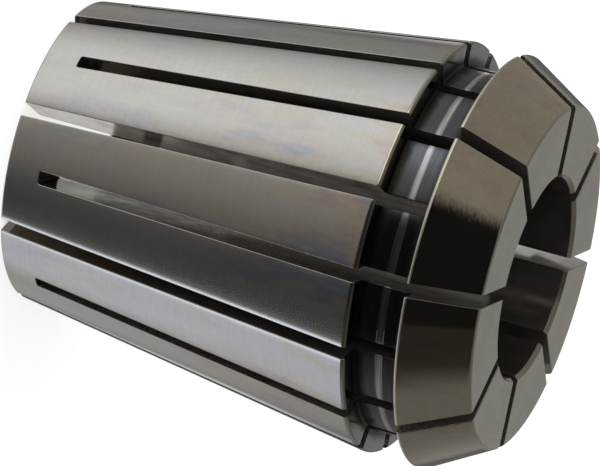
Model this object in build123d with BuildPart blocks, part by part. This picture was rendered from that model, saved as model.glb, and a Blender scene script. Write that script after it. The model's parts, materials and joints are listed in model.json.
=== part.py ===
from build123d import *
from math import radians, tan
import os

# Spring collet of the 32 size, in hardened spring steel, in millimetres.
# The collet is one turned, sawn and ground piece. It stands on its small
# back end, its axis along +Z, with the origin in the middle of that end.
# The nose, where the tool shank goes in, is at the top.

# Turned outside
collet_length = 40.0
big_diameter = 33.0
taper_angle = 8.0
taper_length = 30.8
nose_angle = 30.0
rim_land = 0.25

# Extraction groove between the taper and the nose
groove_width = 4.0
shoulder_height = 1.85
groove_step_place = 1.75
groove_step_width = 0.6
groove_step_height = 0.04
rim_height = 1.81

# Bore for the tool shank, and its wider relief at the back
clamp_diameter = 16.0
clamp_length = 28.0
relief_diameter = 16.7
relief_cone_length = 1.2

# Slots sawn in turn from the front and from the back
slots_per_end = 8
slot_width = 1.05
front_slot_land = 2.9
back_slot_reach = 34.4

# Edges
back_edge_chamfer = 0.1
taper_edge_chamfer = 0.2
rim_edge_chamfer = 0.1
face_edge_radius = 0.4
bore_mouth_chamfer = 0.3
groove_root_radius = 0.25
slot_end_radius = 0.2
saw_run_out = 2.0

# Radii and heights that follow from the sizes above
big_radius = big_diameter / 2
groove_radius = big_radius - shoulder_height
clamp_radius = clamp_diameter / 2
relief_radius = relief_diameter / 2
back_radius = big_radius - taper_length * tan(radians(taper_angle))
groove_front = taper_length + groove_width
groove_step_start = taper_length + groove_step_place
groove_step_end = groove_step_start + groove_step_width
groove_step_radius = groove_radius + groove_step_height
nose_radius = groove_step_radius + rim_height
cone_start = groove_front + rim_land
face_radius = nose_radius - (collet_length - cone_start) * tan(radians(nose_angle))
clamp_start = collet_length - clamp_length
relief_end = clamp_start - relief_cone_length
slot_pitch = 360 / slots_per_end

# Corners of the half section, as radius and height
back_bore_corner = (relief_radius, 0)
back_outer_corner = (back_radius, 0)
taper_top_corner = (big_radius, taper_length)
shoulder_root = (groove_radius, taper_length)
step_foot = (groove_radius, groove_step_start)
step_head = (groove_step_radius, groove_step_end)
rim_root = (groove_step_radius, groove_front)
rim_corner = (nose_radius, groove_front)
cone_foot = (nose_radius, cone_start)
face_outer_corner = (face_radius, collet_length)
bore_mouth_corner = (clamp_radius, collet_length)
clamp_end = (clamp_radius, clamp_start)
relief_head = (relief_radius, relief_end)


def corner(section, point):
    """The section's vertex at one of the corners above."""
    return section.vertices().sort_by_distance(point)[0]


def end_corners(body, height):
    """The straight edges where the walls of the slots meet their closed ends at a height."""
    return body.edges().filter_by(GeomType.LINE).filter_by_position(Axis.Z, height, height)


with BuildPart() as collet:
    # Half section, turned about the axis
    with BuildSketch(Plane.XZ) as half_section:
        with BuildLine():
            Polyline(
                back_bore_corner,
                back_outer_corner,
                taper_top_corner,
                shoulder_root,
                step_foot,
                step_head,
                rim_root,
                rim_corner,
                cone_foot,
                face_outer_corner,
                bore_mouth_corner,
                clamp_end,
                relief_head,
                close=True,
            )
        make_face()
        chamfer(corner(half_section, back_outer_corner), length=back_edge_chamfer)
        chamfer(corner(half_section, taper_top_corner), length=taper_edge_chamfer)
        chamfer(corner(half_section, rim_corner), length=rim_edge_chamfer)
        chamfer(corner(half_section, bore_mouth_corner), length=bore_mouth_chamfer)
        chamfer(corner(half_section, back_bore_corner), length=bore_mouth_chamfer)
        fillet(corner(half_section, face_outer_corner), radius=face_edge_radius)
        fillet(corner(half_section, shoulder_root), radius=groove_root_radius)
        fillet(corner(half_section, rim_root), radius=groove_root_radius)
    revolve(axis=Axis.Z)

    # Slots sawn from the front, which stop above a solid ring at the back
    with BuildSketch(Plane.XY.offset(front_slot_land)):
        with PolarLocations(0, slots_per_end):
            Rectangle(big_radius + saw_run_out, slot_width, align=(Align.MIN, Align.CENTER))
    extrude(amount=collet_length - front_slot_land + saw_run_out, mode=Mode.SUBTRACT)

    # Slots sawn from the back, midway between, which stop under the nose
    with BuildSketch(Plane.XY.offset(-saw_run_out)):
        with PolarLocations(0, slots_per_end, start_angle=slot_pitch / 2):
            Rectangle(big_radius + saw_run_out, slot_width, align=(Align.MIN, Align.CENTER))
    extrude(amount=saw_run_out + back_slot_reach, mode=Mode.SUBTRACT)

    # Closed ends of all the slots, rounded where the saw's corners are worn
    fillet(end_corners(collet, front_slot_land), radius=slot_end_radius)
    fillet(end_corners(collet, back_slot_reach), radius=slot_end_radius)

collet.part.label = "collet"

os.makedirs("parts", exist_ok=True)
export_step(collet.part, "parts/collet.step")
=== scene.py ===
import json
import math
from collections import namedtuple

import bpy
import numpy as np
from mathutils import Matrix, Vector

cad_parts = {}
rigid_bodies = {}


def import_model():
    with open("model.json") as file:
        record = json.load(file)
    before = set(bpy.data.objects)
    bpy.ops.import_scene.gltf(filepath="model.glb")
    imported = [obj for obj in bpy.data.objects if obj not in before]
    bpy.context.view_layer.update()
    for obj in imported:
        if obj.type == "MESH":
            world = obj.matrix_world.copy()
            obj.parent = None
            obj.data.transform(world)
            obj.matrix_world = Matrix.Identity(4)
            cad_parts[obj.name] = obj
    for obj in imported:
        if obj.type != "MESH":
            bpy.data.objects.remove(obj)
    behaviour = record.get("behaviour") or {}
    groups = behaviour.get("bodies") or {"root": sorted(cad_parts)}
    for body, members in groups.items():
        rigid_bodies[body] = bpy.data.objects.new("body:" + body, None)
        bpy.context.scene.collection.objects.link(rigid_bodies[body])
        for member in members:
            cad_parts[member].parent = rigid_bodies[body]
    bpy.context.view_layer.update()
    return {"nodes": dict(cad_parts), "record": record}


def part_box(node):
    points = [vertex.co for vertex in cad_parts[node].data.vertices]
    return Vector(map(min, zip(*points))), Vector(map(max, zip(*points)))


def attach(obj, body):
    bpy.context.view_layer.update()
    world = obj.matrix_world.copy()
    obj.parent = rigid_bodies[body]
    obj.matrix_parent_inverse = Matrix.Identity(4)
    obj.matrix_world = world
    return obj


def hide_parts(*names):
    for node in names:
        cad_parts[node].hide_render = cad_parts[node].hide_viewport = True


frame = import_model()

# A slotted spring collet of the 32 size, standing on its small back end.
# The turned body is worked out as one closed surface from its half section
# and its sixteen saw slots, and carries a finish for each machined face.

bl_info = {
    "name": "Spring Collet",
    "version": (1, 0, 0),
    "blender": (4, 5, 0),
    "location": "3D View > Sidebar > Collet",
    "description": "Builds a slotted spring collet with its ground, turned and sawn finishes",
    "category": "Add Mesh",
}

MM = 0.001
MICRON = 0.001 * MM

COLLET_NODE = "collet"

# Middle of the place on the nose where the polish was left coarse
COARSE_POLISH = (13.7 * MM, -6.2 * MM, 37 * MM)

SLOTS_PER_END = 8

TOOL_BORE = next(m for m in frame["record"]["mounts"] if m["name"] == "tool_bore")
COLLET_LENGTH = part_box(COLLET_NODE)[1].z

# Finishes, in the order of the body's material slots
TAPER, EDGE, BROWN, GROOVE, NOSE, FACE, SLOT, BORE, END_SHADE = range(9)

# Where rows of points lie, as shares of a lip's or corner's radius and of the roll-off's reach
LIP_SHARES = np.array([0.0, 0.134, 0.5, 1.0])
ROLL_SHARES = np.array([0.25, 0.6, 1.0])

# A section that turns by more than this has an edge there
SHARP_TURN = math.radians(8.0)


def length(name, millimetres, description):
    """A size property, stored in metres and given in millimetres."""
    return bpy.props.FloatProperty(
        name=name, description=description, default=millimetres * MM, unit="LENGTH", subtype="DISTANCE"
    )


def angle(name, degrees, description):
    """An angle property, stored in radians and given in degrees."""
    return bpy.props.FloatProperty(
        name=name, description=description, default=math.radians(degrees), unit="ROTATION", subtype="ANGLE"
    )


def colour(name, rgb, description):
    """A scene-linear colour property."""
    return bpy.props.FloatVectorProperty(
        name=name, description=description, default=rgb, size=3, min=0.0, max=1.0, subtype="COLOR"
    )


def amount(name, value, description):
    """A plain number from nought to one."""
    return bpy.props.FloatProperty(
        name=name, description=description, default=value, min=0.0, max=1.0, subtype="FACTOR"
    )


class ColletSizes(bpy.types.PropertyGroup):
    """Sizes of the collet's half section and slots."""

    big_diameter: length("Big diameter", 33.0, "Across the big end of the taper")
    taper_length: length("Taper length", 30.8, "Back end to the shoulder")
    taper_angle: angle("Taper angle", 8.0, "Slope of the clamping taper, a side")
    nose_angle: angle("Nose angle", 30.0, "Slope of the nose cone, a side")
    rim_land: length("Rim land", 0.25, "Straight land between the groove and the nose cone")
    groove_width: length("Groove width", 4.0, "Shoulder to nose rim")
    shoulder_height: length("Shoulder height", 1.85, "Groove floor to big diameter, at the shoulder")
    step_place: length("Step place", 1.75, "Shoulder to the low burnished step in the groove floor")
    step_width: length("Step width", 0.6, "Length of the step")
    step_height: length("Step height", 0.04, "Rise of the step")
    rim_height: length("Rim height", 1.81, "Groove floor to rim, at the nose")
    relief_diameter: length("Relief diameter", 16.7, "Bore behind the clamping length")
    relief_cone: length("Relief cone", 1.2, "Cone between relief and clamping bore")
    slot_width: length("Slot width", 1.05, "Width of the saw slots")
    front_land: length("Front slot land", 2.9, "Back end to the closed end of the slots sawn from the front")
    back_reach: length("Back slot reach", 34.4, "Back end to the closed end of the slots sawn from the back")
    back_chamfer: length("Back chamfer", 0.1, "Broken edge of the taper's small end")
    taper_chamfer: length("Taper chamfer", 0.2, "Broken edge of the taper's big end")
    bore_chamfer: length("Bore chamfer", 0.3, "Broken edges of the bore")
    rim_chamfer: length("Rim chamfer", 0.1, "Broken edge of the nose rim, on the groove side")
    face_radius: length("Face radius", 0.4, "Rounding between nose cone and front face")
    root_radius: length("Root radius", 0.25, "Rounding at both roots of the groove")
    edge_radius: length("Edge radius", 0.075, "Rounding of machined corners, more than the lips fall")
    rim_radius: length("Rim radius", 0.14, "Rounding of the rubbed corners of the rim")
    shoulder_radius: length("Shoulder radius", 0.35, "Rounding of the rubbed corner of the taper's big end")
    lip_radius: length("Lip radius", 0.06, "Rounding of the lips of the slots")
    slot_end_radius: length("Slot end radius", 0.2, "Rounding of the corners at the closed ends of the slots")
    roll_reach: length("Roll-off reach", 0.45, "How far from a lip the polished steel starts to fall away")
    roll_drop: length("Roll-off drop", 0.010, "How far it has fallen at the lip")


class ColletColours(bpy.types.PropertyGroup):
    """Colours and gloss of the collet's finishes."""

    taper: colour("Taper steel", (0.56, 0.552, 0.535), "Ground steel of the clamping taper")
    nose: colour("Nose steel", (0.475, 0.445, 0.382), "Ground steel of the nose cone")
    front: colour("Front steel", (0.328, 0.312, 0.272), "Faced steel of the front and back ends")
    edge: colour("Edge steel", (0.76, 0.73, 0.64), "Bright steel of the rim and of rubbed edges")
    brown: colour("Brown edge steel", (0.10, 0.075, 0.048), "Tarnished steel of the taper's broken edges")
    # Painted shade: this dark colour darkens the groove's roots and the deep parts of the slots and bore
    painted_shade: colour("Grime", (0.016, 0.013, 0.011), "Old oil in the corners and deep in the slots")
    groove: colour("Groove steel", (0.155, 0.157, 0.165), "Tempered dark steel of the groove")
    line: colour("Burnished steel", (0.74, 0.73, 0.70), "Step in the groove floor")
    slot: colour("Slot steel", (0.44, 0.40, 0.35), "Sawn walls of the slots")
    # Painted shade: the slots' closed ends are painted this dark colour, with a real red-brown tinge
    painted_end_shade: colour("Painted end shade", (0.052, 0.041, 0.034), "Closed ends of the slots, under old oil")
    bore: colour("Bore steel", (0.31, 0.275, 0.24), "Bored wall, darkened by oil")
    warm_stain: colour("Warm stain", (1.0, 0.95, 0.82), "Straw tint of a thin oil film on the ground steel")
    rose_stain: colour("Rose stain", (0.97, 0.85, 0.87), "Rose tint of a thicker film")
    cool_stain: colour("Cool stain", (0.69, 0.76, 0.96), "Blue tint of a thicker film still")
    smudge: colour("Smudge", (0.66, 0.62, 0.40), "Olive tint of dried oil on the nose")
    rust_tinge: colour("Rust tinge", (0.20, 0.06, 0.03), "Red-brown tinge in the slots' ends")
    taper_gloss: amount("Taper roughness", 0.17, "Roughness of the ground taper")
    nose_gloss: amount("Nose roughness", 0.08, "Roughness of the ground nose")


class StudioSettings(bpy.types.PropertyGroup):
    """Camera and light."""

    camera_azimuth: angle("Camera azimuth", -12.185, "Where the camera stands round the axis, from +X")
    camera_elevation: angle("Camera elevation", 17.96, "Height of the camera above the horizon")
    camera_roll: angle("Axis slope", 15.34, "How far the collet's axis runs down to the right in the picture")
    camera_distance: length("Camera distance", 400.75, "Camera to the middle of the axis")
    aim_right: length("Aim right", 0.064, "Picture centre to the right of the middle of the axis")
    aim_down: length("Aim down", 1.522, "Picture centre below the middle of the axis")
    focal_length: bpy.props.FloatProperty(
        name="Focal length", description="Lens of the camera, in millimetres", default=307.68, min=1.0
    )


# Half section, as chains of points from the back end to the front


class Chain:
    """An open outline: its points, and its heading at the start and the end of each interval."""

    def __init__(self, points, starts, ends):
        self.points = np.asarray(points, float)
        self.starts = np.asarray(starts, float)
        self.ends = np.asarray(ends, float)


def unit(vectors):
    """Vectors divided by their own lengths."""
    vectors = np.asarray(vectors, float)
    return vectors / np.linalg.norm(vectors, axis=-1, keepdims=True)


def straight(points):
    """A chain of straight intervals through the given points."""
    points = np.asarray(points, float)
    heading = unit(np.diff(points, axis=0))
    return Chain(points, heading, heading)


def alongside(chain, start, end):
    """A straight chain from start to end, divided in the same shares as another chain's length."""
    steps = np.linalg.norm(np.diff(chain.points, axis=0), axis=1)
    share = np.concatenate([[0.0], np.cumsum(steps)]) / steps.sum()
    start, end = np.array(start), np.array(end)
    return straight(start + share[:, None] * (end - start))


def rounded(corners, radii, steps):
    """A chain through the corners, each inner one rounded by an arc.

    An arc of radius R at a corner that turns by T starts R * tan(T / 2) before
    the corner, and its heading turns evenly from one run to the next.
    """
    corners = np.array(corners, float)
    points, starts, ends = [corners[:1]], [], []
    for before, here, after, radius in zip(corners, corners[1:], corners[2:], radii):
        into, out = unit(here - before), unit(after - here)
        turn = math.atan2(into[0] * out[1] - into[1] * out[0], into @ out)
        side = math.copysign(radius, turn)
        first = here - into * radius * math.tan(abs(turn) / 2)
        centre = first + side * np.array([-into[1], into[0]])
        bend = turn * np.linspace(0.0, 1.0, steps + 1)[:, None]
        heading = np.cos(bend) * into + np.sin(bend) * np.array([-into[1], into[0]])
        arc = centre - side * np.column_stack([-heading[:, 1], heading[:, 0]])
        points.append(arc)
        starts += [into[None], heading[:-1]]
        ends += [into[None], heading[1:]]
    last = unit(corners[-1] - points[-1][-1])
    points.append(corners[-1:])
    return Chain(np.vstack(points), np.vstack([*starts, last[None]]), np.vstack([*ends, last[None]]))


def joined(chains):
    """Chains set end to end, each starting where the last one stopped."""
    points = np.vstack([chains[0].points] + [c.points[1:] for c in chains[1:]])
    return Chain(points, np.vstack([c.starts for c in chains]), np.vstack([c.ends for c in chains]))


class Section:
    """The half section in radius and height: an outer and an inner chain with as many points each.

    The outer chain runs from the back face over the taper, shoulder, groove, rim
    and nose cone to the front face, and the inner one along the bore.
    """

    # Steps in a rounding, and along the relief, the clamping bore and the nose cone
    ARC_STEPS, RELIEF_STEPS, CLAMP_STEPS, CONE_STEPS = 2, 4, 8, 5

    # Flat ring beside the broken edges, on either end face
    FACE_LAND = 0.12 * MM

    # How far out the outer chain ends on the front face, in bore chamfers
    FACE_CUTS = 3

    # How far the rows that follow an end or a corner reach: back, shoulder, rim and front
    BACK_ZONE, SHOULDER_ZONE, RIM_ZONE, FACE_ZONE = 0.9 * MM, 0.8 * MM, 0.5 * MM, 1.3 * MM

    # Easing of the groove's step, as a share of its height and along the floor
    STEP_EASE_SHARE, STEP_EASE = 0.3, 0.03 * MM

    # Heights closer than this count as one, beside a face and beside a row of points
    FACE_SLACK, ROW_SLACK = 0.01 * MM, 0.001 * MM

    # Share of the taper's chamfer that is brown, and of the face's rounding that is still nose
    BROWN_SHARE, NOSE_SHARE = 0.85, 0.3

    def __init__(self, sizes):
        s = sizes
        self.sizes = s
        self.lip, self.corner = s.lip_radius, s.slot_end_radius
        self.big = s.big_diameter / 2
        self.groove = self.big - s.shoulder_height
        self.groove_high = self.groove + s.step_height
        self.rim = self.groove_high + s.rim_height
        self.bore = TOOL_BORE["dims"]["r_mm"] * MM
        self.relief = s.relief_diameter / 2
        self.top = COLLET_LENGTH
        self.slope, self.cone_slope = math.tan(s.taper_angle), math.tan(s.nose_angle)
        self.back = self.big - s.taper_length * self.slope
        self.shoulder = s.taper_length
        self.step_start = self.shoulder + s.step_place
        self.step_end = self.step_start + s.step_width
        self.groove_end = self.shoulder + s.groove_width
        self.cone_start = self.groove_end + s.rim_land
        self.clamp_start = self.top - s.bore_chamfer - TOOL_BORE["dims"]["length_mm"] * MM
        self.relief_end = self.clamp_start - s.relief_cone
        self.front_land, self.back_reach = s.front_land, s.back_reach
        outer, inner = zip(*self.spans())
        self.outer, self.inner = joined(outer), joined(inner)

    def taper(self, z):
        """Point of the taper at a height."""
        return (self.back + z * self.slope, z)

    def cone(self, z):
        """Point of the nose cone at a height."""
        return (self.rim - (z - self.cone_start) * self.cone_slope, z)

    def floor(self, z):
        """Point of the groove's floor beside the nose at a height."""
        return (self.groove_high, z)

    def clamp(self, z):
        """Point of the clamping bore at a height."""
        return (self.bore, z)

    def wide(self, z):
        """Point of the relief behind the clamping bore at a height."""
        return (self.relief, z)

    def spans(self):
        """Pairs of outer and inner chains between heights that both share."""
        s, small, steps = self.sizes, self.sizes.edge_radius, self.ARC_STEPS
        cut, back_cut, land, top = s.bore_chamfer, s.back_chamfer, self.FACE_LAND, self.top
        low, high = self.BACK_ZONE, self.shoulder - self.SHOULDER_ZONE
        cone_low, cone_high = self.cone_start + self.RIM_ZONE, top - self.FACE_ZONE
        lips = LIP_SHARES * self.lip
        closed = self.front_land - np.concatenate([ROLL_SHARES[::-1] * s.roll_reach, lips[::-1]])
        open_end = self.back_reach + lips
        face_end = (self.bore + self.FACE_CUTS * cut, top)

        def plain(outside, inside, heights):
            # Straight runs between the heights
            return straight([outside(z) for z in heights]), straight([inside(z) for z in heights])

        def even(start, end, count):
            # Heights from start to end in equal steps
            return np.linspace(start, end, count + 1)

        back_outer = rounded(
            [
                (self.back - back_cut - land, 0), (self.back - back_cut, 0),
                self.taper(back_cut), self.taper(low),
            ],
            [small, small], steps,
        )
        back_inner = rounded(
            [(self.relief + cut + land, 0), (self.relief + cut, 0), self.wide(cut), self.wide(low)],
            [small, small], steps,
        )
        rise, ease = self.STEP_EASE_SHARE * s.step_height, self.STEP_EASE
        groove = rounded(
            [
                self.taper(high), self.taper(self.shoulder - s.taper_chamfer),
                (self.big - s.taper_chamfer, self.shoulder), (self.groove, self.shoulder),
                (self.groove, self.step_start), (self.groove + rise, self.step_start + ease),
                (self.groove_high - rise, self.step_end - ease), self.floor(self.step_end),
                self.floor(self.back_reach),
            ],
            [s.shoulder_radius, small, s.root_radius] + 4 * [small], 2 * steps,
        )
        rim = rounded(
            [
                self.floor(open_end[-1]), self.floor(self.groove_end),
                (self.rim - s.rim_chamfer, self.groove_end), (self.rim, self.groove_end + s.rim_chamfer),
                (self.rim, self.cone_start), self.cone(cone_low),
            ],
            [s.root_radius - small, small, s.rim_radius, s.rim_radius], 2 * steps,
        )
        mouth_outer = rounded(
            [self.cone(cone_high), self.cone(top), face_end],
            [s.face_radius], 2 * steps + 1,
        )
        mouth_inner = rounded(
            [
                self.clamp(cone_high), self.clamp(top - cut),
                (self.bore + cut, top), (self.bore + cut + land, top),
            ],
            [small, small], steps,
        )
        return [
            (back_outer, back_inner),
            plain(self.taper, self.wide, [low, closed[0]]),
            plain(self.taper, self.wide, closed),
            plain(self.taper, self.wide, even(self.front_land, self.relief_end, self.RELIEF_STEPS)),
            (
                straight([self.taper(self.relief_end), self.taper(self.clamp_start)]),
                straight([self.wide(self.relief_end), self.clamp(self.clamp_start)]),
            ),
            plain(self.taper, self.clamp, even(self.clamp_start, high, self.CLAMP_STEPS)),
            (groove, alongside(groove, self.clamp(high), self.clamp(self.back_reach))),
            plain(self.floor, self.clamp, open_end),
            (rim, alongside(rim, self.clamp(open_end[-1]), self.clamp(cone_low))),
            plain(self.cone, self.clamp, even(cone_low, cone_high, self.CONE_STEPS)),
            (mouth_outer, mouth_inner),
        ]

    def outer_finish(self):
        """The finish of each outer interval, from where its middle lies."""
        r, z = ((self.outer.points[1:] + self.outer.points[:-1]) / 2).T
        s, slack = self.sizes, self.FACE_SLACK
        kinds = (
            (z < slack, FACE),
            (z < s.back_chamfer, BROWN),
            (z < self.shoulder - self.BROWN_SHARE * s.taper_chamfer, TAPER),
            ((z < self.shoulder) & (r > self.big - s.taper_chamfer), BROWN),
            ((z < self.groove_end + slack) & (r < self.rim - s.rim_chamfer), GROOVE),
            (z < self.cone_start, EDGE),
            (z < self.top - self.NOSE_SHARE * s.face_radius, NOSE),
        )
        return np.select([place for place, kind in kinds], [kind for place, kind in kinds], FACE)

    def inner_finish(self):
        """The finish of each inner interval: faced at both ends and bored between."""
        z = (self.inner.points[1:, 1] + self.inner.points[:-1, 1]) / 2
        return np.where((z < self.FACE_SLACK) | (z > self.top - self.FACE_SLACK), FACE, BORE)

    def nook_distance(self, chain):
        """How far each point of the outer chain is from the two roots of the groove."""
        roots = np.array([(self.groove, self.shoulder), (self.groove_high, self.groove_end)])
        return np.linalg.norm(chain.points[:, None, :] - roots[None, :, :], axis=2).min(1)

    def end_shift(self, chain, beside, from_front):
        """How far each row moves along the section, to follow the rounded corners of a slot's closed end.

        Beside a slot's middle plane by x, a corner of radius R at half width h has
        risen by R - sqrt(R^2 - (x - h + R)^2), and beyond the wall it sinks back.
        """
        half, corner, slack = self.sizes.slot_width / 2, self.corner, self.ROW_SLACK
        inner = np.clip(beside - half + corner, 0.0, corner)
        rise = corner - np.sqrt(corner**2 - inner**2)
        rise = rise * np.clip(1.0 - (beside - half) / self.sizes.roll_reach, 0.0, 1.0)
        z = chain.points[:, 1]
        under = np.clip(1.0 + (z - self.front_land + self.lip) / self.sizes.roll_reach, 0.0, 1.0)
        under = np.where(z < self.front_land + slack, under, 0.0)
        over = (z > self.back_reach - slack) & (z < self.back_reach + self.lip + slack)
        return rise[:, None] * np.where(from_front[:, None], under[None, :], -1.0 * over[None, :])


def outward(chain, side):
    """Normals that point out of the steel, at the start and the end of each interval."""
    turn = lambda heading: side * np.column_stack([heading[:, 1], -heading[:, 0]])
    return turn(chain.starts), turn(chain.ends)


def mitres(starts, ends):
    """At each point, the vector that offsets both neighbouring intervals by one unit."""
    before = np.vstack([starts[:1], ends])
    after = np.vstack([starts, ends[-1:]])
    total = before + after
    return total / (1.0 + (before * after).sum(1))[:, None]


def edge_distance(chain, starts, ends):
    """Distance along a chain from each point to the nearest place where it turns sharply."""
    steps = np.linalg.norm(np.diff(chain.points, axis=0), axis=1)
    along = np.concatenate([[0.0], np.cumsum(steps)])
    limit = math.cos(SHARP_TURN)
    bend = (starts * ends).sum(1) < limit
    kink = np.concatenate([[False], (ends[:-1] * starts[1:]).sum(1) < limit, [False]])
    marks = np.concatenate([along[1:][bend], along[kink]])
    return np.abs(along[:, None] - marks[None, :]).min(1)


# One side of the wall at every station and row, with the lean of its normal and which way that goes
Side = namedtuple("Side", "radius height lean toward edge")


class Body:
    """The collet's skin on a lattice: stations round the axis, rows along the section, layers in the wall.

    A station stands off its slot's middle plane by a fixed distance, so slot walls
    are flat and parallel. The angle at radius r of a plane that lies x beside the
    axis is the slot's own angle plus the arc sine of x / r.
    """

    # Steps through the wall, and round the middle of a jaw
    LAYERS, MIDDLE_STEPS = 6, 6

    # Distances to an edge are measured up to this
    EDGE_REACH = 3.0 * MM

    # Least distance that anything is divided by
    LEAST = 0.001 * MICRON

    # A heading steeper than this follows the rounded corners of the slots' closed ends
    STEEP = 0.5

    def __init__(self, section):
        self.section = section
        self.half = section.sizes.slot_width / 2
        self.slots = 2 * SLOTS_PER_END
        self.pitch = 2 * math.pi / self.slots
        self.stations()
        self.outer_normals = outward(section.outer, 1.0)
        self.inner_normals = outward(section.inner, -1.0)
        self.outer = self.surface(section.outer, self.outer_normals)
        self.inner = self.surface(section.inner, self.inner_normals)
        self.solid = self.solid_cells()
        self.points, self.measures = self.lattice()
        self.ids = np.arange(self.points[..., 0].size).reshape(self.points.shape[:3])
        self.following = np.roll(self.ids, -1, axis=0)

    def stations(self):
        """Round the axis: the pitch, the share of the way to the next slot, and how far off its plane."""
        corner = -LIP_SHARES[:0:-1] * self.section.corner
        lip, rolled = LIP_SHARES * self.section.lip, ROLL_SHARES * self.section.sizes.roll_reach
        near = np.concatenate([corner, lip, rolled]) + self.half
        share = np.linspace(0.0, 1.0, self.MIDDLE_STEPS + 1)[1:-1]
        ahead = np.concatenate([[0.0], near, np.full(len(share), near[-1]), near[::-1]])
        part = np.concatenate([[0.0], np.zeros(len(near)), share, np.ones(len(near))])
        self.pitch_index = np.repeat(np.arange(self.slots), len(ahead))
        self.share = np.tile(part, self.slots)
        self.beside = np.tile(ahead, self.slots)
        self.count = len(self.share)

    def angle_at(self, radius):
        """Angle of every station at the given radii, which have the stations along their first axis."""
        shape = (-1,) + (1,) * (radius.ndim - 1)
        share, beside = self.share.reshape(shape), self.beside.reshape(shape)
        first = self.pitch_index.reshape(shape) * self.pitch
        lean = np.arcsin(beside / radius)
        return (1 - share) * (first + lean) + share * (first + self.pitch - lean)

    def lip_field(self, radius, height):
        """Distance from each surface point to the nearest slot, and the direction in which that slot lies.

        A slot is a strip with rounded corners at its closed end, so the distance is
        that to a rounded rectangle, less than nought inside it.
        """
        theta = self.angle_at(radius)
        corner = self.section.corner
        best = np.full(theta.shape, np.inf)
        toward = np.zeros(theta.shape + (3,))
        for ahead in (0, 1):
            slot = (self.pitch_index[:, None] + ahead) % self.slots
            at = slot * self.pitch
            from_front = slot % 2 == 0
            off = np.abs(radius * np.sin(theta - at)) - self.half + corner
            past = corner + np.where(
                from_front, self.section.front_land - height, height - self.section.back_reach
            )
            at_corner = (off > 0) & (past > 0)
            reach = np.maximum(np.hypot(off, past), self.LEAST)
            distance = np.where(at_corner, reach, np.maximum(off, past)) - corner
            aside = np.where(at_corner, off / reach, off >= past)
            along = np.where(at_corner, past / reach, off < past)
            side = 1 - 2 * ahead
            upward = np.where(from_front, 1.0, -1.0)
            direction = np.stack([side * aside * np.sin(at), -side * aside * np.cos(at), along * upward], -1)
            nearer = distance < best
            best = np.where(nearer, distance, best)
            toward = np.where(nearer[..., None], direction, toward)
        return np.maximum(best, 0.0), toward

    def surface(self, chain, normals):
        """One side of the wall, with how far each of its points is from an edge.

        At distance d from a slot, the steel drops within the lip radius R by
        R - sqrt(R^2 - (R - d)^2), a quarter round, and within the roll-off W by
        D * (1 - d / W)^2. The normal leans over by the slopes of both.
        """
        lip, reach, drop = self.section.lip, self.section.sizes.roll_reach, self.section.sizes.roll_drop
        slot = self.pitch_index + (self.share > 0.5)
        shift = self.section.end_shift(chain, self.beside, slot % 2 == 0)
        heading = np.vstack([chain.starts, chain.ends[-1:]])
        rise = np.abs(heading[:, 1])
        follow = np.where(rise > self.STEEP, heading[:, 0] / np.maximum(rise, self.STEEP), 0.0)
        radius = chain.points[None, :, 0] + shift * follow[None, :]
        height = chain.points[None, :, 1] + shift
        distance, toward = self.lip_field(radius, height)
        inside = np.clip(1.0 - distance / lip, 0.0, 1.0)
        rolled = np.clip(1.0 - distance / reach, 0.0, 1.0)
        fall = lip * (1.0 - np.sqrt(1.0 - inside**2)) + drop * rolled**2
        lean = np.minimum(np.arcsin(inside) + np.arctan(2 * drop / reach * rolled), math.pi / 2)
        mitre = mitres(*normals)
        radius = radius - fall * mitre[None, :, 0]
        height = height - fall * mitre[None, :, 1]
        edge = np.minimum(distance, edge_distance(chain, *normals)[None, :])
        return Side(radius, height, lean, toward, np.minimum(edge, self.EDGE_REACH))

    def solid_cells(self):
        """True for each cell of stations and intervals that holds steel, and isn't in an open slot."""
        z = (self.section.outer.points[1:, 1] + self.section.outer.points[:-1, 1]) / 2
        gap = self.beside + np.roll(self.beside, -1) < 2 * self.half
        slot = np.where(self.share < 0.5, self.pitch_index, self.pitch_index + 1) % self.slots
        inner = (self.section.inner.points[1:, 1] + self.section.inner.points[:-1, 1]) / 2
        low = np.minimum(z, inner) > self.section.front_land
        high = np.maximum(z, inner) < self.section.back_reach
        from_front = (slot % 2 == 0)[:, None] & low[None, :]
        from_back = (slot % 2 == 1)[:, None] & high[None, :]
        return ~(gap[:, None] & (from_front | from_back))

    def lattice(self):
        """All points of the wall, from the bore outwards, and what the finishes read at each of them.

        That is how far a point is from an edge, from the outer skin and from the groove's roots.
        """
        share = np.linspace(0.0, 1.0, self.LAYERS + 1)
        radius = self.inner.radius[..., None] * (1 - share) + self.outer.radius[..., None] * share
        height = self.inner.height[..., None] * (1 - share) + self.outer.height[..., None] * share
        theta = self.angle_at(radius)
        points = np.stack([radius * np.cos(theta), radius * np.sin(theta), height], -1)
        edge = np.full(radius.shape, self.EDGE_REACH)
        edge[..., 0], edge[..., -1] = self.inner.edge, self.outer.edge
        depth = self.outer.radius[..., None] - radius
        nook = np.broadcast_to(self.section.nook_distance(self.section.outer)[None, :, None], radius.shape)
        return points, {"edge": edge, "depth": depth, "nook": nook}

    def skin_normals(self, side, layer, normals, a, b):
        """Normals of one skin at a corner of each cell, leaning towards the slot on the lips."""
        out, up = normals.T
        x, y = self.points[a, b, layer, :2].T
        theta = np.arctan2(y, x)
        plain = np.stack([out * np.cos(theta), out * np.sin(theta), up], -1)
        lean = side.lean[a, b][:, None]
        return unit(np.cos(lean) * plain + np.sin(lean) * side.toward[a, b])

    def layered(self, *indices):
        """Indices repeated for every layer of the wall, and with them the layer's own."""
        repeated = [np.repeat(index, self.LAYERS) for index in indices]
        return *repeated, np.tile(np.arange(self.LAYERS), len(indices[0]))

    def across(self, a, b, c):
        """Corners of the quads in row b, from station a to the next and from layer c to the next."""
        return [
            self.ids[a, b, c], self.following[a, b, c],
            self.following[a, b, c + 1], self.ids[a, b, c + 1],
        ]

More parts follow.
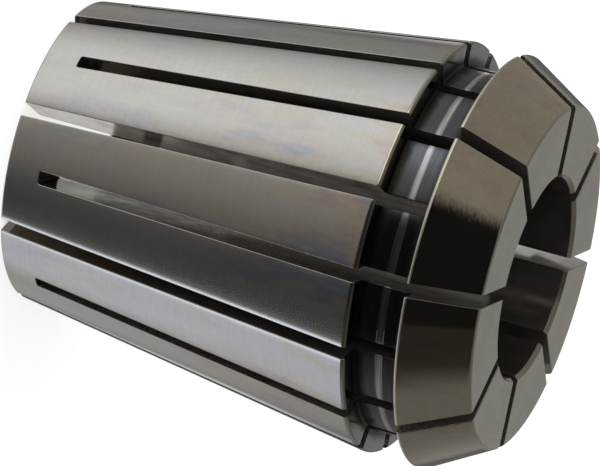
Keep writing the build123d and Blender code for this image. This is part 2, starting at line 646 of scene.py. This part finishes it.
    def skins(self):
        """Quads of the outer and the inner skin."""
        a, b = np.nonzero(self.solid)
        for side, layer, normals, kinds, order in (
            (self.outer, -1, self.outer_normals, self.section.outer_finish(), 1),
            (self.inner, 0, self.inner_normals, self.section.inner_finish(), -1),
        ):
            corners = [
                self.ids[a, b, layer], self.following[a, b, layer],
                self.following[a, b + 1, layer], self.ids[a, b + 1, layer],
            ]
            leans = [
                self.skin_normals(side, layer, normals[along][b], (a + ahead) % self.count, b + along)
                for ahead, along in ((0, 0), (1, 0), (1, 1), (0, 1))
            ]
            yield corners[::order], leans[::order], kinds[b]

    def end_faces(self):
        """Quads of the back and front faces, with normals that lean towards the slots on the lips."""
        for row, way, order in ((0, -1.0, 1), (-1, 1.0, -1)):
            a, c = self.layered(np.nonzero(self.solid[:, row])[0])
            leans, straight_out = [], np.array([0.0, 0.0, way])
            for ring in (a, (a + 1) % self.count, (a + 1) % self.count, a):
                lean = self.outer.lean[ring, row][:, None]
                leans.append(unit(np.cos(lean) * straight_out + np.sin(lean) * self.outer.toward[ring, row]))
            yield self.across(a, row, c)[::order], leans[::order], FACE

    def slot_walls(self):
        """Quads of the slots' side walls, which are flat."""
        for shift, order in ((1, 1), (0, -1)):
            beside = np.roll(self.solid, -1 if shift else 1, 0)
            a, b = np.nonzero(self.solid & ~beside)
            a, b, c = self.layered((a + shift) % self.count, b)
            corners = [
                self.ids[a, b, c], self.ids[a, b + 1, c],
                self.ids[a, b + 1, c + 1], self.ids[a, b, c + 1],
            ]
            at = (self.pitch_index[a] + (self.share[a] > 0.5)) * self.pitch
            flat = order * np.stack([-np.sin(at), np.cos(at), np.zeros_like(at)], -1)
            yield corners[::order], [flat] * 4, SLOT

    def slot_ends(self):
        """Quads of the slots' closed ends, with normals that point into the slot."""
        below, above = self.solid[:, :-1], self.solid[:, 1:]
        for closed, order in ((below & ~above, -1), (above & ~below, 1)):
            a, b = np.nonzero(closed)
            a, b, c = self.layered(a, b + 1)
            here, ahead = self.outer.toward[a, b], self.outer.toward[(a + 1) % self.count, b]
            # The closed ends take the dark end finish, a painted shade
            yield self.across(a, b, c)[::order], [here, ahead, ahead, here][::order], END_SHADE

    def faces(self):
        """The skin's points, its quads with their corner normals and finish, and what the finishes read."""
        quads, normals, finish = [], [], []
        for part in (self.skins, self.end_faces, self.slot_walls, self.slot_ends):
            for corners, leans, kind in part():
                quads.append(np.stack(corners, -1).reshape(-1, 4))
                normals.append(np.stack(leans, -2).reshape(-1, 4, 3))
                finish.append(np.broadcast_to(kind, quads[-1].shape[:1]))
        used, remapped = np.unique(np.concatenate(quads), return_inverse=True)
        named = {name: values.reshape(-1)[used] for name, values in self.measures.items()}
        points = self.points.reshape(-1, 3)[used]
        return points, remapped.reshape(-1, 4), np.concatenate(normals), np.concatenate(finish), named


def skin_mesh(name, points, quads, normals, finish, attributes):
    """A mesh from arrays of points and quads, with a finish for each face and a normal for each corner."""
    mesh = bpy.data.meshes.new(name)
    mesh.vertices.add(len(points))
    mesh.vertices.foreach_set("co", points.astype(np.float32).ravel())
    mesh.loops.add(quads.size)
    mesh.loops.foreach_set("vertex_index", quads.astype(np.int32).ravel())
    mesh.polygons.add(len(quads))
    mesh.polygons.foreach_set("loop_start", np.arange(0, quads.size, 4, dtype=np.int32))
    mesh.polygons.foreach_set("material_index", finish.astype(np.int32))
    mesh.update(calc_edges=True)
    mesh.validate()
    mesh.polygons.foreach_set("use_smooth", np.ones(len(quads), bool))
    for label, values in attributes.items():
        mesh.attributes.new(label, "FLOAT", "POINT").data.foreach_set("value", values.astype(np.float32))
    mesh.normals_split_custom_set(normals.reshape(-1, 3).astype(np.float32))
    mesh.update()
    return mesh


# Shader nodes

# Kinds of a group's sockets, by what stands there until a material gives its own value
SOCKETS = {float: "NodeSocketFloat", tuple: "NodeSocketColor", type(None): "NodeSocketVector"}

WHITE = (1.0, 1.0, 1.0, 1.0)
GREY = (0.5, 0.5, 0.5, 1.0)
BLACK = (0.01, 0.01, 0.01, 1.0)


def maths(operation, *values):
    """The value of a maths node, of which at least one input is a value itself."""
    nodes = next(value.nodes for value in values if isinstance(value, Value))
    return nodes.value("ShaderNodeMath", dict(enumerate(values)), operation=operation)


class Value:
    """What a shader node puts out. A sum of values is a maths node."""

    def __init__(self, nodes, socket):
        self.nodes = nodes
        self.socket = socket

    def __add__(self, other):
        return maths("ADD", self, other)

    def __sub__(self, other):
        return maths("SUBTRACT", self, other)

    def __rsub__(self, other):
        return maths("SUBTRACT", other, self)

    def __mul__(self, other):
        return maths("MULTIPLY", self, other)

    def __truediv__(self, other):
        return maths("DIVIDE", self, other)

    def __rtruediv__(self, other):
        return maths("DIVIDE", other, self)

    __radd__, __rmul__ = __add__, __mul__

    def clamped(self):
        """The same value, held between nought and one."""
        self.socket.node.use_clamp = True
        return self


class Nodes:
    """A node tree, and short ways to add to it. An input takes a value or a plain number."""

    def __init__(self, tree):
        self.tree = tree
        tree.nodes.clear()

    def node(self, kind, inputs, **settings):
        """A new node with its settings and its inputs, which are named or numbered."""
        made = self.tree.nodes.new(kind)
        for key, setting in settings.items():
            setattr(made, key, setting)
        for key, given in inputs.items():
            if isinstance(given, Value):
                self.tree.links.new(given.socket, made.inputs[key])
            else:
                made.inputs[key].default_value = given
        return made

    def value(self, kind, inputs, output=0, **settings):
        """What a new node puts out."""
        return Value(self, self.node(kind, inputs, **settings).outputs[output])

    def split(self, vector):
        """The three parts of a vector."""
        return [Value(self, part) for part in self.node("ShaderNodeSeparateXYZ", {0: vector}).outputs]

    def vector(self, *parts):
        """A vector from its three parts."""
        return self.value("ShaderNodeCombineXYZ", dict(enumerate(parts)))

    def mix(self, share, low, high, mode="MIX"):
        """Two colours mixed, or multiplied, by a share."""
        return self.value("ShaderNodeMix", {0: share, 6: low, 7: high}, 2, data_type="RGBA", blend_type=mode)

    def ramp(self, value, low, high, start=0.0, end=1.0):
        """A value taken smoothly from low..high to start..end, and held beyond."""
        inputs = dict(enumerate((value, low, high, start, end)))
        return self.value("ShaderNodeMapRange", inputs, interpolation_type="SMOOTHSTEP")

    def noise(self, vector, scale, detail=2.0, roughness=0.5):
        """A grey noise pattern."""
        inputs = {"Vector": vector, "Scale": scale, "Detail": detail, "Roughness": roughness}
        return self.value("ShaderNodeTexNoise", inputs, "Fac", noise_dimensions="3D")

    def round_axis(self, position):
        """Coordinates that follow a turning lay: the direction from the axis, and height less radius."""
        x, y, z = self.split(position)
        radius = maths("SQRT", x * x + y * y)
        off_axis = maths("MAXIMUM", radius, 0.001 * MM)
        return x / off_axis, y / off_axis, z - radius

    def bump(self, height, distance=1.0):
        """A normal that follows a height times a distance."""
        return self.value("ShaderNodeBump", {"Strength": 1.0, "Distance": distance, "Height": height})

    def attribute(self, name):
        """One of the body's own attributes."""
        return self.value("ShaderNodeAttribute", {}, "Fac", attribute_name=name)

    def group(self, name, note="", **values):
        """A group placed in this tree with its own values, as what it puts out by name."""
        inputs = {label.replace("_", " "): given for label, given in values.items()}
        made = self.node("ShaderNodeGroup", inputs, node_tree=bpy.data.node_groups[name], label=note)
        return {socket.name: Value(self, socket) for socket in made.outputs}


class Group(Nodes):
    """A shader node group with named inputs, which it takes, and outputs, which it gives."""

    def __init__(self, name, outputs, **inputs):
        super().__init__(bpy.data.node_groups.new(name, "ShaderNodeTree"))
        sockets = self.tree.interface
        for label, default in inputs.items():
            label = label.replace("_", " ")
            socket = sockets.new_socket(label, in_out="INPUT", socket_type=SOCKETS[type(default)])
            if default is not None:
                socket.default_value = default
        for label in outputs:
            kind = tuple if label == "Color" else float
            sockets.new_socket(label, in_out="OUTPUT", socket_type=SOCKETS[kind])
        source = self.node("NodeGroupInput", {})
        self.take = {socket.name: Value(self, socket) for socket in source.outputs}

    def give(self, **values):
        """Feeds what the group puts out."""
        self.node("NodeGroupOutput", values)


def turning_lay_group():
    """Fine lines left by grinding or turning, which run round the axis, as a height and a shade."""
    group = Group("Turning Lay", ("Height", "Shade"), Position=None, Spacing=0.1 * MM, Run=3.0, Waviness=0.3)
    take = group.take
    x, y, across = group.round_axis(take["Position"])

    def lines(spacing_share, run_share, detail):
        run = take["Run"] * run_share
        drawn = group.vector(x * run, y * run, across / (take["Spacing"] * spacing_share))
        return group.noise(drawn, 1.0, detail, 0.6)

    fine, broad = lines(1.0, 3.0, 3.0), lines(9.0, 0.6, 2.0)
    group.give(Height=fine + broad * take["Waviness"], Shade=lines(2.0, 1.2, 4.0) - 0.5)


def handling_stain_group():
    """A film of oil that tints steel straw, rose and blue as it thickens, most beside a slot."""
    group = Group(
        "Handling Stain", ("Color", "Smear"), Position=None, Distance=3 * MM, Steel=GREY,
        Straw=(1.0, 0.9, 0.7, 1.0), Rose=(1.0, 0.8, 0.9, 1.0), Blue=(0.8, 0.8, 1.0, 1.0),
        Strength=0.3, Scale=210.0, Creep=3 * MM, Low=8 * MM, High=32 * MM,
    )
    take = group.take
    spread = group.value("ShaderNodeMapping", {"Vector": take["Position"], "Scale": (1.0, 1.0, 0.3)})
    height = group.split(take["Position"])[2]
    near = group.ramp(take["Distance"], 0.0, take["Creep"], 1.0, 0.45)
    strength = take["Strength"] * near * group.ramp(height, take["Low"], take["High"], 0.35, 1.0)
    thick = group.noise(spread, take["Scale"], 5.0, 0.62)
    tinted = take["Steel"]
    for tint, low, high in (("Straw", 0.45, 0.56), ("Rose", 0.51, 0.61), ("Blue", 0.55, 0.67)):
        middle = 0.5 * (low + high)
        share = group.ramp(thick, low, middle) * group.ramp(thick, middle, high + 0.02, 1.0, 0.0) * strength
        tinted = group.mix(share, tinted, take[tint], "MULTIPLY")
    smear = group.noise(spread, take["Scale"] * 0.6, 5.0, 0.65)
    group.give(Color=tinted, Smear=smear - 0.5)


def fine_grain_group():
    """Small specks and pits of handled steel, and soft waves of hand polish drawn out round the axis."""
    group = Group(
        "Fine Grain", ("Shade", "Specks", "Height"), Position=None, Size=0.2 * MM, Wave=0.3 * MM,
        Stretch=3.0, Centre=None, Reach=8 * MM,
    )
    take = group.take
    scale = 1.0 / take["Size"]
    grain = group.noise(take["Position"], scale, 3.0, 0.7)
    coarse = group.noise(take["Position"], scale * 0.22, 3.0, 0.6)
    x, y, across = group.round_axis(take["Position"])
    run = 15 * MM / (take["Wave"] * take["Stretch"])
    waves = group.noise(group.vector(x * run, y * run, across / take["Wave"]), 1.0)
    ends = {0: take["Position"], 1: take["Centre"]}
    away = group.value("ShaderNodeVectorMath", ends, "Value", operation="DISTANCE")
    group.give(
        Shade=grain * 0.65 + coarse * 0.35 - 0.5,
        Specks=group.ramp(grain, 0.64, 0.74),
        Height=waves * group.ramp(away, 0.0, take["Reach"], 1.0, 0.0),
    )


def edge_wear_group():
    """Bright rubbed steel that fades away from an edge, with a broken margin."""
    group = Group(
        "Edge Wear", ("Color", "Mask"), Position=None, Distance=MM, Reach=0.1 * MM, Steel=GREY,
        Bright=(0.7, 0.7, 0.7, 1.0), Strength=0.5,
    )
    take = group.take
    ragged = group.ramp(group.noise(take["Position"], 2500.0, 3.0, 0.6), 0.3, 0.7, 0.4, 1.4)
    near = (1.0 - take["Distance"] / (take["Reach"] * ragged)).clamped()
    mask = near * take["Strength"]
    group.give(Color=group.mix(mask, take["Steel"], take["Bright"]), Mask=mask)


def painted_shade_group():
    """Painted shade that lies dark in a corner and thins out away from it."""
    group = Group("Grime", ("Color", "Mask"), Position=None, Distance=MM, Reach=MM, Steel=GREY, Grime=BLACK)
    take = group.take
    ragged = group.ramp(group.noise(take["Position"], 1500.0, 4.0, 0.65), 0.3, 0.7, 0.9, 1.1)
    reach = take["Reach"] * ragged
    mask = group.ramp(take["Distance"], reach * 0.1, reach, 0.95, 0.0)
    group.give(Color=group.mix(mask, take["Steel"], take["Grime"]), Mask=mask)


def band_group():
    """A burnished band round a turned piece, with soft edges that follow the turning lines."""
    group = Group(
        "Burnished Band", ("Color", "Mask"), Position=None, From=0.0, To=0.0, Softness=0.1 * MM,
        Steel=GREY, Bright=WHITE, Lines=0.0,
    )
    take = group.take
    height = group.split(take["Position"])[2]
    low = ((height - take["From"]) / take["Softness"]).clamped()
    high = ((take["To"] - height) / take["Softness"]).clamped()
    mask = (low * high * (take["Lines"] + 0.9)).clamped()
    group.give(Color=group.mix(mask, take["Steel"], take["Bright"]), Mask=mask)


def oil_tinge_and_depth_shade_group():
    """A slot's or bore's steel under oil, red-brown in patches, and darkened with depth as painted shade."""
    group = Group(
        "Oil Tinge And Depth Shade", ("Color", "Roughness"), Position=None, Depth=0.0, Steel=GREY,
        Tinge=(0.2, 0.06, 0.03, 1.0), Grime=BLACK, Strength=0.5, Gloss=0.3,
    )
    take = group.take
    patch = group.noise(take["Position"], 500.0)
    tinge = group.ramp(patch, 0.48, 0.66) * take["Strength"]
    stained = group.mix(tinge, take["Steel"], take["Tinge"])
    # Painted shade: the steel darkens towards the shade colour deeper into the slot or bore
    deep = group.ramp(take["Depth"], 0.0, 4 * MM) * 0.75
    group.give(
        Color=group.mix(deep, stained, take["Grime"]),
        Roughness=take["Gloss"] * group.ramp(patch, 0.3, 0.7, 0.9, 1.4),
    )


def studio_card_group():
    """One card or soft box of the studio: a patch of directions, over what stands behind it."""
    group = Group(
        "Studio Card", ("Color",), Azimuth=0.0, Elevation=0.0, Behind=WHITE, Card=WHITE,
        From_Azimuth=0.0, To_Azimuth=0.0, From_Elevation=0.0, To_Elevation=0.0,
        First_Blur=5.0, Last_Blur=5.0, Level_Blur=5.0,
    )
    take = group.take
    mask = 1.0
    for way, edge, blur, sign in (
        ("Azimuth", "From Azimuth", "First Blur", 1.0),
        ("Azimuth", "To Azimuth", "Last Blur", -1.0),
        ("Elevation", "From Elevation", "Level Blur", 1.0),
        ("Elevation", "To Elevation", "Level Blur", -1.0),
    ):
        past = (take[way] - take[edge]) * sign
        mask = mask * group.ramp(past, take[blur] * -0.5, take[blur] * 0.5)
    group.give(Color=group.mix(mask, take["Behind"], take["Card"]))


GROUPS = (
    turning_lay_group,
    handling_stain_group,
    fine_grain_group,
    edge_wear_group,
    painted_shade_group,
    band_group,
    oil_tinge_and_depth_shade_group,
)


def new_material(name):
    """A material, its empty tree, and the object position for its patterns."""
    material = bpy.data.materials.new(name)
    material.use_nodes = True
    nodes = Nodes(material.node_tree)
    return material, nodes, nodes.value("ShaderNodeTexCoord", {}, "Object")


def rgba(value):
    """A colour property as four numbers."""
    return (*value, 1.0)


def machined_steel(
    name, colours, steel, roughness, spacing, lay, stain,
    wear=0.0, turn=0.0, shade=0.14, grain=0.0, cloud=0.0, wave=0.0, smudge=0.0, painted_shade=0.0, band=None,
):
    """A ground or turned steel finish with its lay, stains and rubbed edges, and painted shade in its
    corners.
    """
    material, nodes, place = new_material(name)
    edge = nodes.attribute("edge")
    lines = nodes.group("Turning Lay", Position=place, Spacing=spacing)
    grains = nodes.group("Fine Grain", Position=place, Centre=COARSE_POLISH)
    stained = nodes.group(
        "Handling Stain", Position=place, Steel=rgba(steel), Straw=rgba(colours.warm_stain),
        Rose=rgba(colours.rose_stain), Blue=rgba(colours.cool_stain), Strength=stain, Distance=edge,
    )
    worn, smear = stained["Color"], stained["Smear"]
    rough = smear * (0.3 * roughness) + roughness
    if smudge:
        spot = nodes.ramp(smear, 0.1, 0.2) * smudge * nodes.ramp(grains["Shade"], -0.1, 0.1)
        worn = nodes.mix(spot, worn, rgba(colours.smudge), "MULTIPLY")
    if band:
        start, end = band
        worn = nodes.group(
            "Burnished Band", Position=place, From=start, To=end, Softness=0.18 * MM, Steel=worn,
            Bright=rgba(colours.line), Lines=lines["Shade"],
        )["Color"]
    if wear:
        worn = nodes.group(
            "Edge Wear", Position=place, Distance=edge, Steel=worn, Bright=rgba(colours.edge), Strength=wear,
        )["Color"]
    # Painted shade: the groove's floor darkens towards its two roots, and is rougher there
    if painted_shade:
        corner_shade = nodes.group(
            "Grime", Position=place, Distance=nodes.attribute("nook"), Reach=painted_shade, Steel=worn,
            Grime=rgba(colours.painted_shade),
        )
        worn = corner_shade["Color"]
        rough = rough + corner_shade["Mask"] * 0.3
    tone = 1.0 + lines["Shade"] * shade + grains["Shade"] * grain + smear * cloud
    tone = tone - grains["Specks"] * (0.5 * grain)
    tint = nodes.value("ShaderNodeCombineColor", {0: tone, 1: tone, 2: tone})
    inputs = {
        "Base Color": nodes.mix(1.0, worn, tint, "MULTIPLY"),
        "Metallic": 1.0,
        "Roughness": rough,
        "Normal": nodes.bump(lines["Height"] * lay + grains["Height"] * wave),
        "Anisotropic": turn,
        "Anisotropic Rotation": 0.25,
    }
    if turn:
        inputs["Tangent"] = nodes.value("ShaderNodeTangent", {}, direction_type="RADIAL", axis="Z")
    surface = nodes.value("ShaderNodeBsdfPrincipled", inputs)
    nodes.node("ShaderNodeOutputMaterial", {"Surface": surface})
    return material


def oily_steel_with_depth_shade(name, colours, steel, tinge, depth_share, metallic, gloss):
    """The steel of a slot or bore with its oil tinge, and painted shade deeper in."""
    material, nodes, place = new_material(name)
    film = nodes.group(
        "Oil Tinge And Depth Shade", Position=place, Depth=nodes.attribute("depth") * depth_share, Steel=rgba(steel),
        Tinge=rgba(colours.rust_tinge), Grime=rgba(colours.painted_shade), Strength=tinge, Gloss=gloss,
    )
    lines = nodes.group("Turning Lay", Position=place, Spacing=0.12 * MM)
    inputs = {
        "Base Color": film["Color"],
        "Metallic": metallic,
        "Roughness": film["Roughness"],
        "Normal": nodes.bump(lines["Height"], 0.06 * MICRON),
    }
    surface = nodes.value("ShaderNodeBsdfPrincipled", inputs)
    nodes.node("ShaderNodeOutputMaterial", {"Surface": surface})
    return material


def make_finishes(settings):
    """The body's materials in the order of its slots: steel, roughness, line spacing and line height."""
    c, section = settings.colours, Section(settings.sizes)
    return (
        machined_steel(
            "ground_taper", c, c.taper, c.taper_gloss, 0.08 * MM, 0.4 * MICRON,
            stain=1.0, wear=0.2, turn=0.6, grain=0.2, cloud=0.3,
        ),
        machined_steel("bright_edge", c, c.edge, 0.4, 0.06 * MM, 0.6 * MICRON, stain=0.2, grain=0.2),
        machined_steel(
            "brown_edge", c, c.brown, 0.35, 0.06 * MM, 0.6 * MICRON,
            stain=0.2, wear=0.35, grain=0.2,
        ),
        machined_steel(
            "dark_groove", c, c.groove, 0.15, 0.09 * MM, 0.8 * MICRON,
            stain=0.2, shade=0.8, grain=0.3, painted_shade=1.1 * MM, band=(section.step_start, section.step_end),
        ),
        machined_steel(
            "ground_nose", c, c.nose, c.nose_gloss, 0.09 * MM, 0.4 * MICRON,
            stain=0.6, wear=0.12, turn=0.3, grain=0.45, cloud=0.3, wave=14 * MICRON, smudge=1.0,
        ),
        machined_steel(
            "faced_front", c, c.front, 0.3, 0.12 * MM, 2 * MICRON,
            stain=0.3, wear=0.04, shade=0.3, grain=0.6, cloud=0.6, smudge=0.5,
        ),
        # Slot walls and bore darken with depth, a painted shade
        oily_steel_with_depth_shade("sawn_slot", c, c.slot, tinge=0.3, depth_share=0.3, metallic=0.955, gloss=0.1),
        oily_steel_with_depth_shade("bored_steel", c, c.bore, tinge=0.05, depth_share=0.2, metallic=0.96, gloss=0.17),
        # The slots' closed ends: a dark painted shade, with a real red-brown rust tinge
        oily_steel_with_depth_shade("rust_tinged_painted_end_shade", c, c.painted_end_shade, tinge=0.25, depth_share=0.3, metallic=0.96, gloss=0.4),
    )


# Studio, with lengths in metres

# Pale paper, and how much of what the camera and the steel see of it is its own white
PAPER, PAPER_SHARE = (0.8, 0.8, 0.8, 1.0), 0.8
FLOOR_REACH = 3.0

LAMP_PLACE = (0.1, -0.2, 1.0)
LAMP_SIZE, LAMP_ENERGY = 0.8, 12.0

CLIP_START = 10 * MM

CARDS = (
    # name, radiance, azimuth from and to, elevation from and to, blur at first, last and level
    ("grey sweep", (0.46, 0.455, 0.44), (-200, 200), (-62, 90), (5, 5, 8)),
    ("dim ceiling", (0.26, 0.25, 0.23), (-200, 200), (56, 90), (5, 5, 8)),
    ("dim sweep above", (0.35, 0.34, 0.32), (110, 200), (-62, -12), (16, 5, 10)),
    ("far sweep above", (0.055, 0.054, 0.052), (158, 200), (-62, 2), (14, 5, 10)),
    ("dim sweep below", (0.46, 0.455, 0.445), (-200, -124), (-62, -12), (5, 16, 10)),
    ("far sweep below", (0.44, 0.435, 0.42), (-177, -160), (-62, -8), (5, 12, 10)),
    ("soft box above", (0.94, 0.945, 0.94), (34, 100), (-70, -22), (28, 44, 8)),
    ("dim front", (0.385, 0.36, 0.32), (-70, 22), (-70, -22), (10, 12, 8)),
    ("dark front", (0.070, 0.069, 0.070), (-70, -8), (-70, -22), (5, 80, 8)),
    ("bright edge of the table", (1.85, 2.0, 2.25), (-83, -72), (-70, -22), (5, 3, 8)),
    ("table below", (0.72, 0.735, 0.81), (-116, -77), (-70, -22), (24, 8, 8)),
    ("dim waist", (0.20, 0.196, 0.19), (-200, 200), (-22, -4), (20, 20, 8)),
    ("dark waist above", (0.14, 0.137, 0.133), (146, 200), (-22, -4), (8, 5, 8)),
    ("dark waist below", (0.14, 0.137, 0.133), (-200, -150), (-22, -4), (5, 8, 8)),
    ("pale waist", (0.41, 0.41, 0.40), (30, 104), (-22, -4), (16, 16, 8)),
    ("black waist", (0.012, 0.012, 0.012), (-86, 16), (-26, -4), (50, 14, 6)),
    ("lamp", (0.92, 0.97, 1.07), (47, 64), (-25, -12), (16, 8, 6)),
    ("gap above", (0.62, 0.61, 0.59), (150, 163), (-20.5, -15), (4, 4, 2)),
    ("gap below", (0.80, 0.79, 0.78), (-164, -155), (-22.4, -19.6), (3, 3, 1)),
    ("dim side above", (0.33, 0.31, 0.275), (20, 160), (-4, 60), (6, 50, 8)),
    ("dim side below", (0.21, 0.20, 0.18), (-152, -44), (-4, 60), (70, 3, 8)),
    ("dark side below", (0.036, 0.032, 0.026), (-84, -44), (-4, 60), (26, 3, 8)),
    ("black front", (0.009, 0.008, 0.007), (-49, 32), (-4, 80), (1.5, 14, 8)),
    ("bright horizon", (1.7, 1.65, 1.45), (24, 72), (-6, 12), (14, 16, 6)),
)


def light_world(settings):
    """A white studio: the camera and the paper see it plain, and the steel mirrors the screens in it too."""
    world = bpy.data.worlds.new("studio")
    bpy.context.scene.world = world
    world.use_nodes = True
    nodes = Nodes(world.node_tree)
    direction = nodes.value("ShaderNodeTexCoord", {}, "Generated")
    inputs = {"Vector": direction, "Angle": -settings.camera_azimuth}
    x, y, z = nodes.split(nodes.value("ShaderNodeVectorRotate", inputs, rotation_type="Z_AXIS"))
    azimuth = maths("DEGREES", maths("ARCTAN2", y * -1.0, x))
    elevation = maths("DEGREES", maths("ARCSINE", z))
    seen = WHITE
    for name, radiance, (first, last), (low, high), (first_blur, last_blur, level_blur) in CARDS:
        seen = nodes.group(
            "Studio Card", name, Azimuth=azimuth, Elevation=elevation, Behind=seen, Card=rgba(radiance),
            From_Azimuth=first, To_Azimuth=last, From_Elevation=low, To_Elevation=high,
            First_Blur=first_blur, Last_Blur=last_blur, Level_Blur=level_blur,
        )["Color"]
    mirrored = nodes.value("ShaderNodeLightPath", {}, "Is Glossy Ray")
    background = nodes.value("ShaderNodeBackground", {"Color": nodes.mix(mirrored, WHITE, seen)})
    nodes.node("ShaderNodeOutputWorld", {"Surface": background})


def floor_material(settings):
    """Pale paper: white where it glows, and on one side inside the bore left without its glow, a painted
    shade there.
    """
    material, nodes, place = new_material("pale_floor")
    sizes, azimuth = settings.sizes, settings.studio.camera_azimuth
    footprint = sizes.big_diameter / 2 - sizes.taper_length * math.tan(sizes.taper_angle)
    reach = nodes.value("ShaderNodeVectorMath", {0: place}, "Value", operation="LENGTH")
    left = (math.sin(azimuth), -math.cos(azimuth), 0.0)
    aside = nodes.value("ShaderNodeVectorMath", {0: place, 1: left}, "Value", operation="DOT_PRODUCT")
    # Painted shade: inside the footprint the glow is cut off on one side of the bore only
    outside = nodes.ramp(reach, footprint - 3 * MM, footprint)
    glow_share = maths("MAXIMUM", outside, nodes.ramp(aside, -1 * MM, 0.5 * MM))
    path = nodes.node("ShaderNodeLightPath", {})
    camera, through, mirrored = (
        Value(nodes, path.outputs[ray]) for ray in ("Is Camera Ray", "Is Transmission Ray", "Is Glossy Ray")
    )
    seen = maths("MAXIMUM", maths("MAXIMUM", camera, through), mirrored)
    paper = nodes.value("ShaderNodeBsdfDiffuse", {"Color": PAPER})
    glow = nodes.value("ShaderNodeEmission", {})
    mixed = nodes.value("ShaderNodeMixShader", {0: seen * glow_share * PAPER_SHARE, 1: paper, 2: glow})
    behind = nodes.value("ShaderNodeNewGeometry", {}, "Backfacing")
    clear = nodes.value("ShaderNodeBsdfTransparent", {})
    one_sided = nodes.value("ShaderNodeMixShader", {0: behind, 1: mixed, 2: clear})
    nodes.node("ShaderNodeOutputMaterial", {"Surface": one_sided})
    return material


def camera_matrix(settings):
    """Where the camera stands: its azimuth, elevation and distance, and the axis's slope in its picture.

    The picture's right is the seen axis turned back by its slope.
    """
    a, e, slope = settings.camera_azimuth, settings.camera_elevation, settings.camera_roll
    back = Vector((math.cos(e) * math.cos(a), math.cos(e) * math.sin(a), math.sin(e)))
    axis = Vector((0.0, 0.0, 1.0))
    seen_axis = (axis - back * axis.dot(back)).normalized()
    beside = back.cross(seen_axis)
    right = seen_axis * math.cos(slope) + beside * math.sin(slope)
    up = beside * math.cos(slope) - seen_axis * math.sin(slope)
    middle = Vector((0.0, 0.0, COLLET_LENGTH / 2))
    place = middle + right * settings.aim_right - up * settings.aim_down + back * settings.camera_distance
    turned = Matrix((right, up, back)).transposed().to_4x4()
    return Matrix.Translation(place) @ turned


class COLLET_OT_turned_body(bpy.types.Operator):
    """Builds the collet's one piece: taper, groove, nose, bore and sixteen saw slots"""

    bl_idname = "collet.turned_body"
    bl_label = "Turned and Sawn Body"

    def execute(self, context):
        if COLLET_NODE not in frame["nodes"]:
            raise RuntimeError("The frame has no node for the collet")
        settings = context.scene.collet
        body = Body(Section(settings.sizes))
        mesh = skin_mesh("collet_body", *body.faces())
        for make_group in GROUPS:
            make_group()
        for material in make_finishes(settings):
            mesh.materials.append(material)
        piece = bpy.data.objects.new("collet_body", mesh)
        context.scene.collection.objects.link(piece)
        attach(piece, "root")
        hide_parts(COLLET_NODE)
        return {"FINISHED"}


class COLLET_OT_studio(bpy.types.Operator):
    """Sets up the pale floor, the studio's light and the camera"""

    bl_idname = "collet.studio"
    bl_label = "Studio"

    def execute(self, context):
        if "collet_body" not in context.scene.objects:
            raise RuntimeError("Build the body before the studio")
        settings = context.scene.collet
        corners = [(x * FLOOR_REACH, y * FLOOR_REACH, 0.0) for x, y in ((-1, -1), (1, -1), (1, 1), (-1, 1))]
        mesh = bpy.data.meshes.new("floor")
        mesh.from_pydata(corners, [], [(0, 1, 2, 3)])
        mesh.materials.append(floor_material(settings))
        floor = bpy.data.objects.new("floor", mesh)
        floor.visible_glossy = False
        context.scene.collection.objects.link(floor)

        studio_card_group()
        light_world(settings.studio)
        lamp = bpy.data.lights.new("overhead_lamp", "AREA")
        lamp.shape, lamp.size, lamp.energy = "DISK", LAMP_SIZE, LAMP_ENERGY
        lamp_object = bpy.data.objects.new("overhead_lamp", lamp)
        lamp_object.location = LAMP_PLACE
        lamp_object.visible_glossy = False
        context.scene.collection.objects.link(lamp_object)

        camera = bpy.data.cameras.new("camera")
        camera.lens = settings.studio.focal_length
        camera.clip_start = CLIP_START
        camera_object = bpy.data.objects.new("camera", camera)
        camera_object.matrix_world = camera_matrix(settings.studio)
        context.scene.collection.objects.link(camera_object)
        context.scene.camera = camera_object
        context.scene.view_settings.view_transform = "Standard"
        return {"FINISHED"}


class ColletSettings(bpy.types.PropertyGroup):
    """All settings of the collet and its studio."""

    sizes: bpy.props.PointerProperty(type=ColletSizes, name="Sizes", description="Half section and slots")
    colours: bpy.props.PointerProperty(type=ColletColours, name="Colours", description="Finishes")
    studio: bpy.props.PointerProperty(type=StudioSettings, name="Studio", description="Camera and light")


class COLLET_PT_panel(bpy.types.Panel):
    """Lists the collet's settings and steps"""

    bl_idname = "COLLET_PT_panel"
    bl_label = "Spring Collet"
    bl_space_type = "VIEW_3D"
    bl_region_type = "UI"
    bl_category = "Collet"

    def draw(self, context):
        settings = context.scene.collet
        for group in (settings.sizes, settings.colours, settings.studio):
            box = self.layout.box()
            for name in group.__annotations__:
                box.prop(group, name)
        for operator in OPERATORS:
            self.layout.operator(operator.bl_idname)


OPERATORS = (COLLET_OT_turned_body, COLLET_OT_studio)
CLASSES = (ColletSizes, ColletColours, StudioSettings, ColletSettings, *OPERATORS, COLLET_PT_panel)


def register():
    """Registers the add-on's classes and settings."""
    for item in CLASSES:
        bpy.utils.register_class(item)
    bpy.types.Scene.collet = bpy.props.PointerProperty(
        type=ColletSettings, name="Collet", description="Spring collet"
    )


def unregister():
    """Removes the add-on's classes and settings."""
    del bpy.types.Scene.collet
    for item in reversed(CLASSES):
        bpy.utils.unregister_class(item)


def main():
    """Builds everything in order."""
    register()
    bpy.ops.collet.turned_body()
    bpy.ops.collet.studio()


if __name__ == "__main__":
    main()
